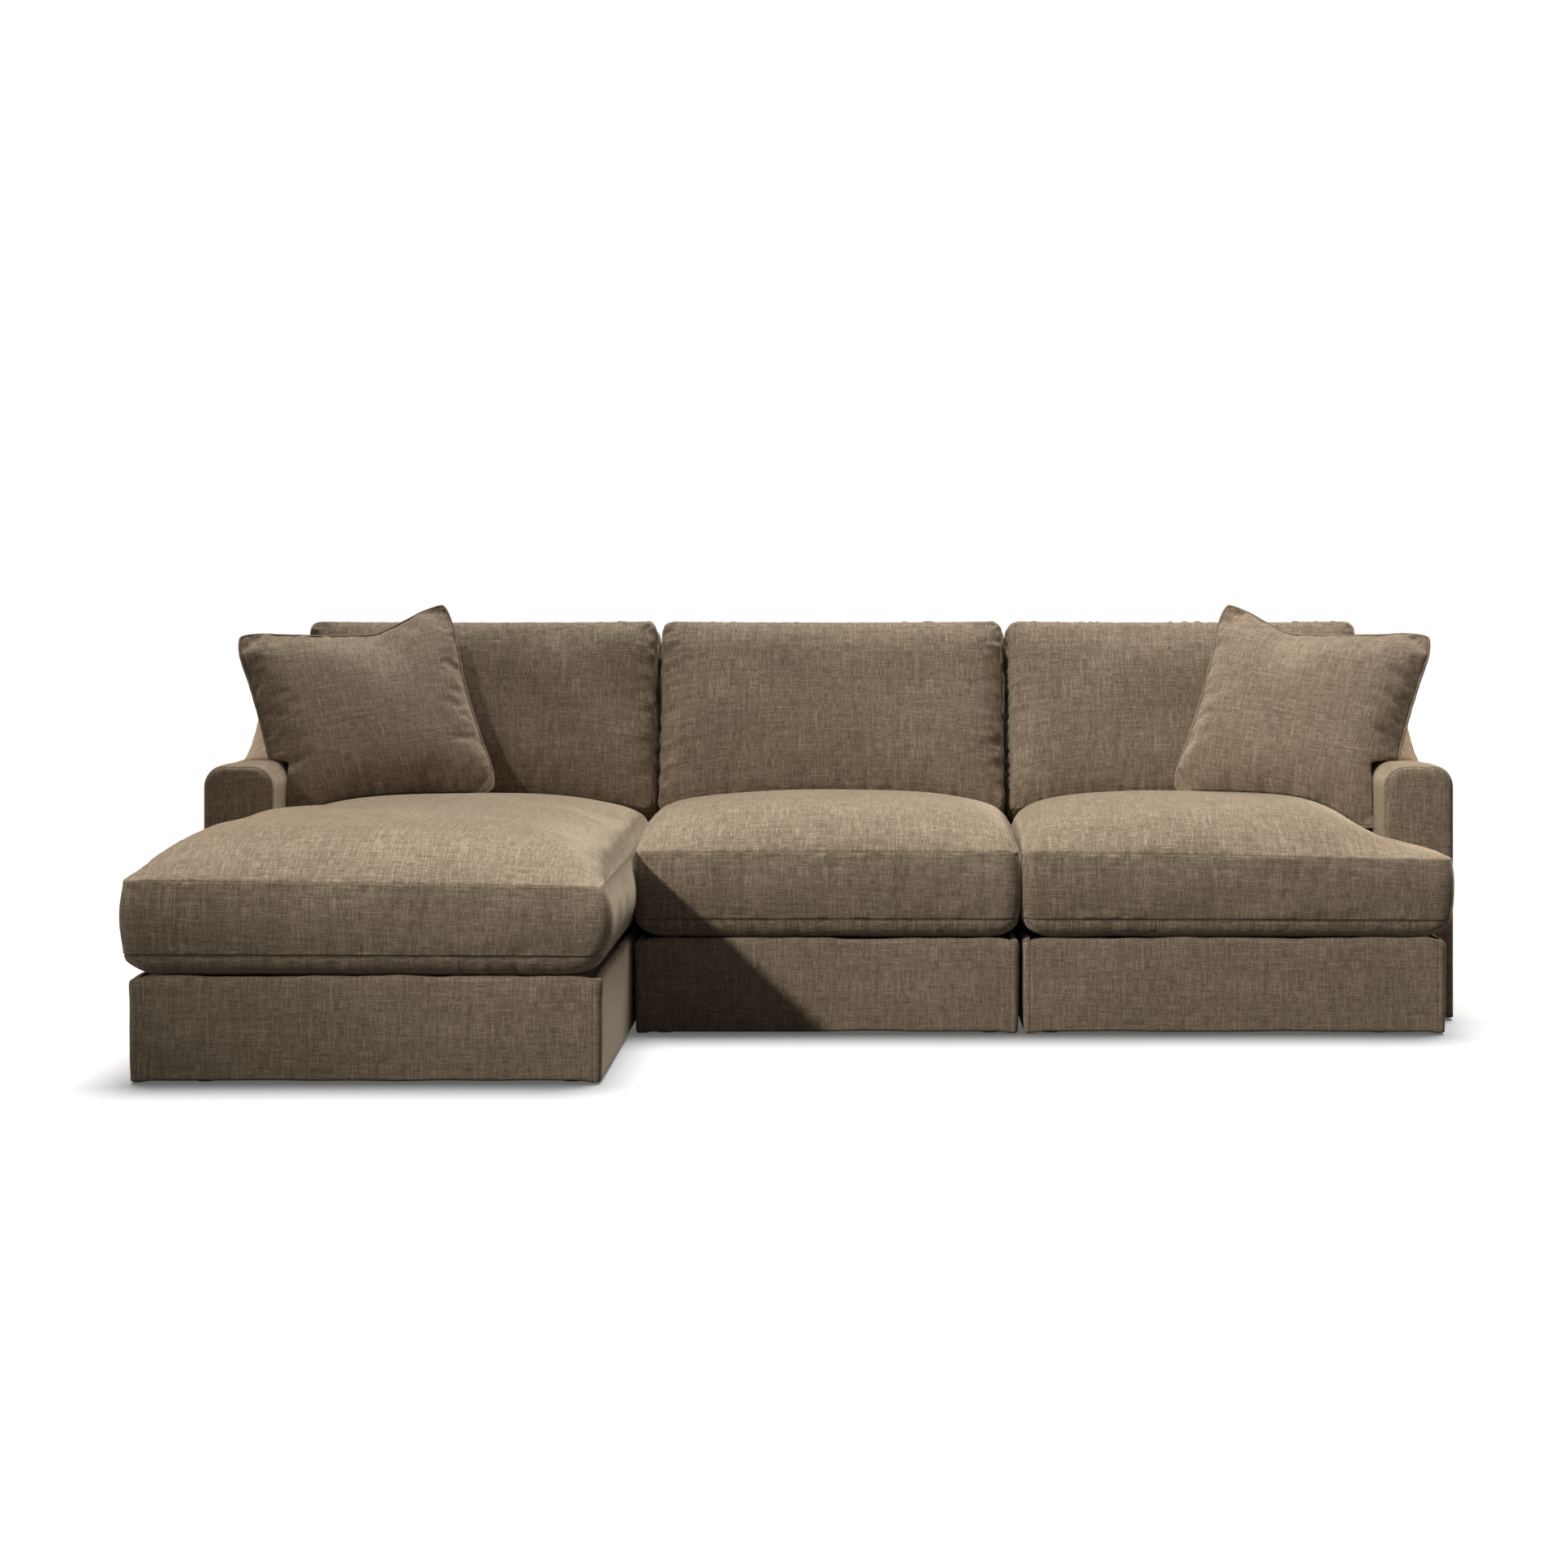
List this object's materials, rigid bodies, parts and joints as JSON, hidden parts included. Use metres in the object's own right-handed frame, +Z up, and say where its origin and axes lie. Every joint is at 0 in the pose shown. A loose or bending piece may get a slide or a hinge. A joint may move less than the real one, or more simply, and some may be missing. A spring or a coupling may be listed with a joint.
{
  "type": "sectional sofa with chaise",
  "caption": "Modular sectional sofa: chaise with one arm, armless seat and end seat with one arm, swept low arms, loose seat and back cushions, throw pillows.",
  "frame": {"origin": "on the floor under the middle of the whole sofa", "axes": "+X across the sofa towards the end unit (the chaise is at -X), +Y towards the back, +Z up; the sofa faces -Y"},
  "size_m": [2.844, 1.704, 0.9513],
  "materials": {
    "upholstery_fabric": "slubbed linen-like weave",
    "pillow_fabric": "slubbed linen-like weave with welt",
    "deck_cloth": "plain deck cloth",
    "dust_cloth": "non-woven black cloth",
    "webbing": "woven band",
    "frame_wood": "raw planed softwood",
    "plywood": "raw plywood",
    "spring_steel": "oiled wire",
    "clip_steel": "zinc-plated",
    "foot_plastic": "matte black"
  },
  "bodies": {
    "chaise_unit": {"chaise_front_cover": "upholstery_fabric", "chaise_side_covers": "upholstery_fabric", "chaise_outside_back_cover": "upholstery_fabric", "chaise_inside_back_pad": "upholstery_fabric", "chaise_deck_pad": "deck_cloth", "chaise_dust_cover": "dust_cloth", "chaise_feet": "foot_plastic", "chaise_front_rail": "frame_wood", "chaise_side_rails": "frame_wood", "chaise_rear_rails": "frame_wood", "chaise_back_posts": "plywood", "chaise_back_cap_board": "frame_wood", "chaise_back_straps": "webbing", "chaise_seat_springs": "spring_steel", "chaise_spring_clips": "clip_steel", "chaise_arm_cover": "upholstery_fabric", "chaise_arm_frame": "plywood", "chaise_link_tongues": "clip_steel"},
    "chaise_seat": {"chaise_seat_cushion": "upholstery_fabric"},
    "chaise_back": {"chaise_back_cushion": "upholstery_fabric"},
    "middle_unit": {"middle_front_cover": "upholstery_fabric", "middle_side_covers": "upholstery_fabric", "middle_outside_back_cover": "upholstery_fabric", "middle_inside_back_pad": "upholstery_fabric", "middle_deck_pad": "deck_cloth", "middle_dust_cover": "dust_cloth", "middle_feet": "foot_plastic", "middle_front_rail": "frame_wood", "middle_side_rails": "frame_wood", "middle_rear_rails": "frame_wood", "middle_back_posts": "plywood", "middle_back_cap_board": "frame_wood", "middle_back_straps": "webbing", "middle_seat_springs": "spring_steel", "middle_spring_clips": "clip_steel", "middle_link_jaws": "clip_steel"},
    "middle_seat": {"middle_seat_cushion": "upholstery_fabric"},
    "middle_back": {"middle_back_cushion": "upholstery_fabric"},
    "end_unit": {"end_front_cover": "upholstery_fabric", "end_side_covers": "upholstery_fabric", "end_outside_back_cover": "upholstery_fabric", "end_inside_back_pad": "upholstery_fabric", "end_deck_pad": "deck_cloth", "end_dust_cover": "dust_cloth", "end_feet": "foot_plastic", "end_front_rail": "frame_wood", "end_side_rails": "frame_wood", "end_rear_rails": "frame_wood", "end_back_posts": "plywood", "end_back_cap_board": "frame_wood", "end_back_straps": "webbing", "end_seat_springs": "spring_steel", "end_spring_clips": "clip_steel", "end_arm_cover": "upholstery_fabric", "end_arm_frame": "plywood", "end_link_tongues": "clip_steel"},
    "end_seat": {"end_seat_cushion": "upholstery_fabric"},
    "end_back": {"end_back_cushion": "upholstery_fabric"},
    "left_pillow": {"left_pillow": "pillow_fabric"},
    "right_pillow": {"right_pillow": "pillow_fabric"}
  },
  "joints": [
    {"name": "chaise_unit_slide", "type": "slide", "parent": "middle_unit", "child": "chaise_unit", "axis": [-1, 0, 0], "range_m": [0, 0.3]},
    {"name": "end_unit_slide", "type": "slide", "parent": "middle_unit", "child": "end_unit", "axis": [1, 0, 0], "range_m": [0, 0.3]},
    {"name": "chaise_seat_lift", "type": "slide", "parent": "chaise_unit", "child": "chaise_seat", "axis": [0, 0, 1], "range_m": [0, 0.65]},
    {"name": "chaise_back_lift", "type": "slide", "parent": "chaise_seat", "child": "chaise_back", "axis": [0, 0, 1], "range_m": [0, 0.45]},
    {"name": "middle_seat_lift", "type": "slide", "parent": "middle_unit", "child": "middle_seat", "axis": [0, 0, 1], "range_m": [0, 0.65]},
    {"name": "middle_back_lift", "type": "slide", "parent": "middle_seat", "child": "middle_back", "axis": [0, 0, 1], "range_m": [0, 0.45]},
    {"name": "end_seat_lift", "type": "slide", "parent": "end_unit", "child": "end_seat", "axis": [0, 0, 1], "range_m": [0, 0.65]},
    {"name": "end_back_lift", "type": "slide", "parent": "end_seat", "child": "end_back", "axis": [0, 0, 1], "range_m": [0, 0.45]},
    {"name": "left_pillow_lift", "type": "slide", "parent": "chaise_back", "child": "left_pillow", "axis": [0, 0, 1], "range_m": [0, 0.45]},
    {"name": "right_pillow_lift", "type": "slide", "parent": "end_back", "child": "right_pillow", "axis": [0, 0, 1], "range_m": [0, 0.45]}
  ]
}
